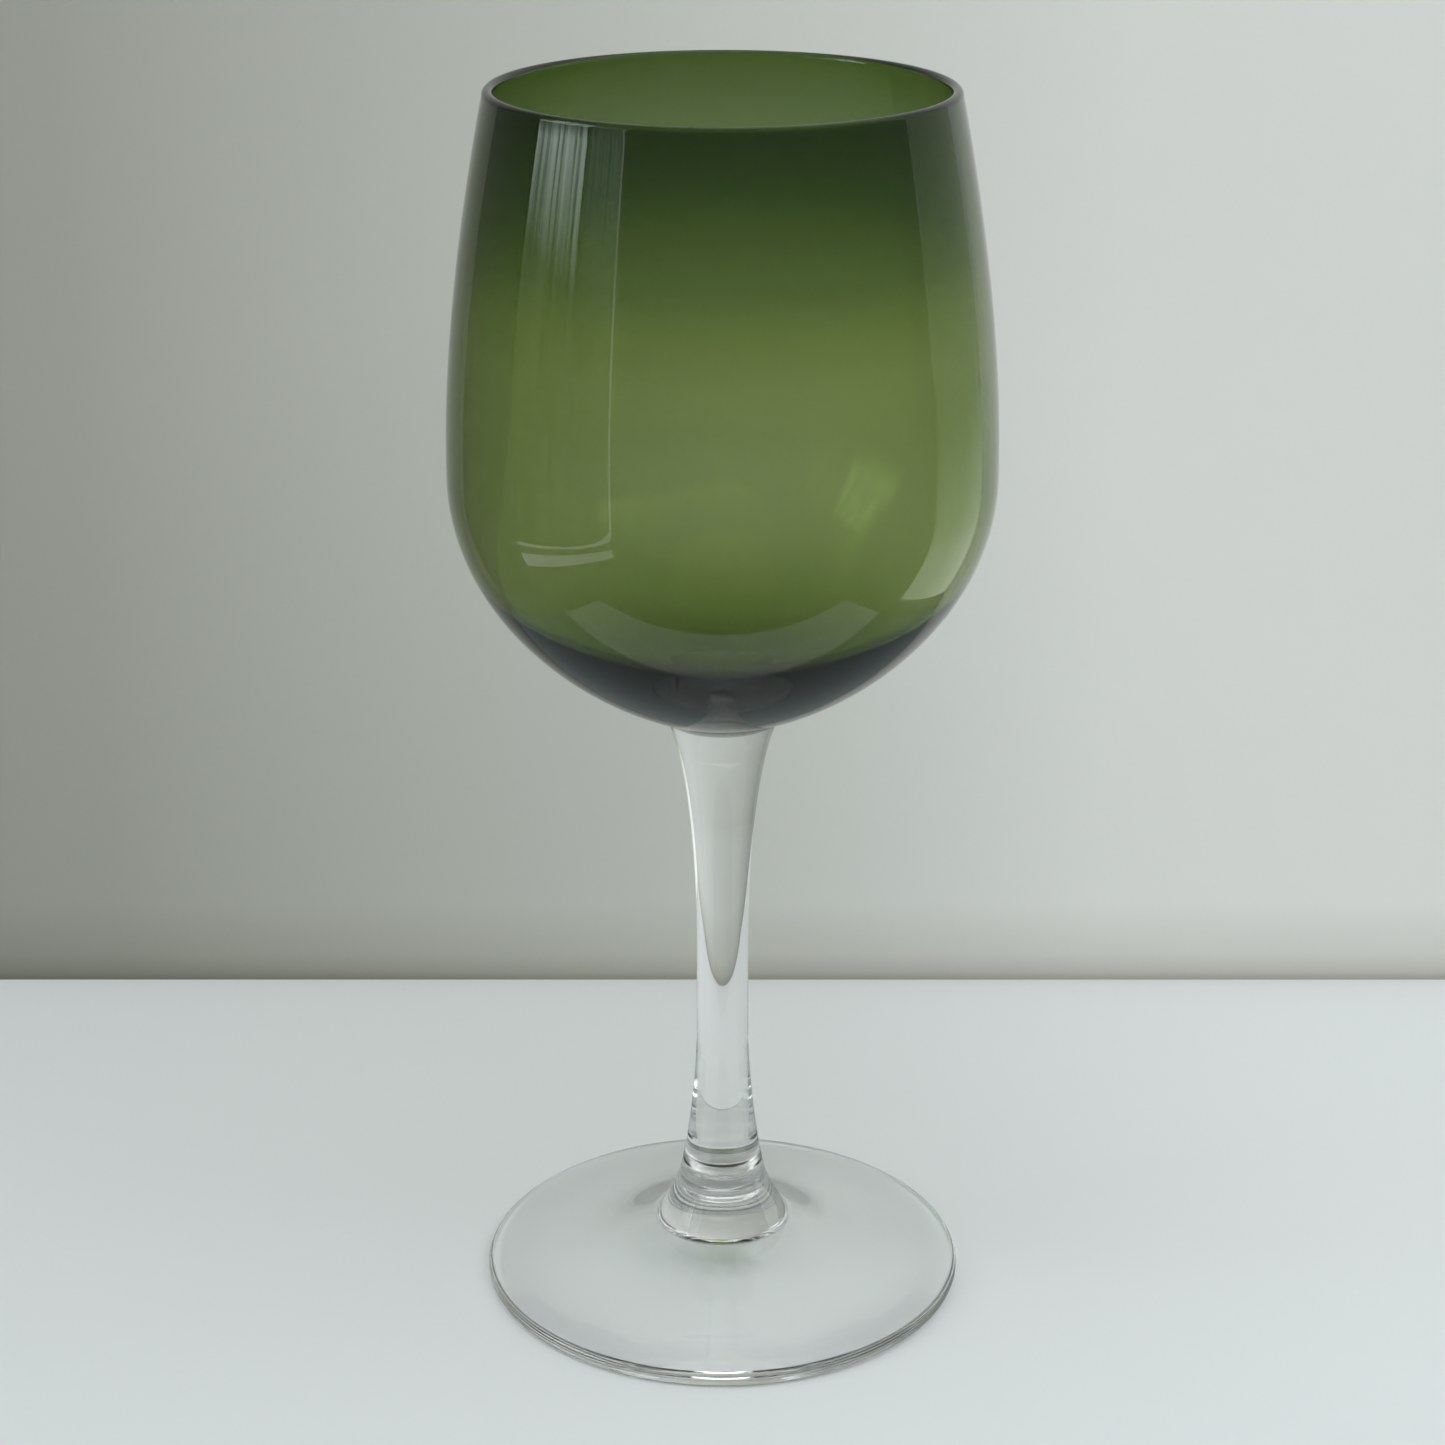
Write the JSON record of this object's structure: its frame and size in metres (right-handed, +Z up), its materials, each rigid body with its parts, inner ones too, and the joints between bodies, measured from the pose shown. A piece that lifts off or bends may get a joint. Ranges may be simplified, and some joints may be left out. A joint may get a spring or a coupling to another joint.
{
  "type": "wine glass",
  "caption": "Stemmed wine glass with a round olive green bowl, a heavy bowl bottom, a clear stem and a clear round foot",
  "frame": {"origin": "centre of the plane that the foot rests on", "axes": "+Z runs up the axis of the stem towards the mouth of the bowl; X and Y are equivalent"},
  "size_m": [0.09, 0.09, 0.21],
  "materials": {
    "green_glass": "smooth, glossy, translucent olive green",
    "clear_glass": "smooth, glossy, clear"
  },
  "bodies": {
    "root": {"bowl": "green_glass", "stem": "clear_glass", "foot": "clear_glass"}
  },
  "joints": []
}
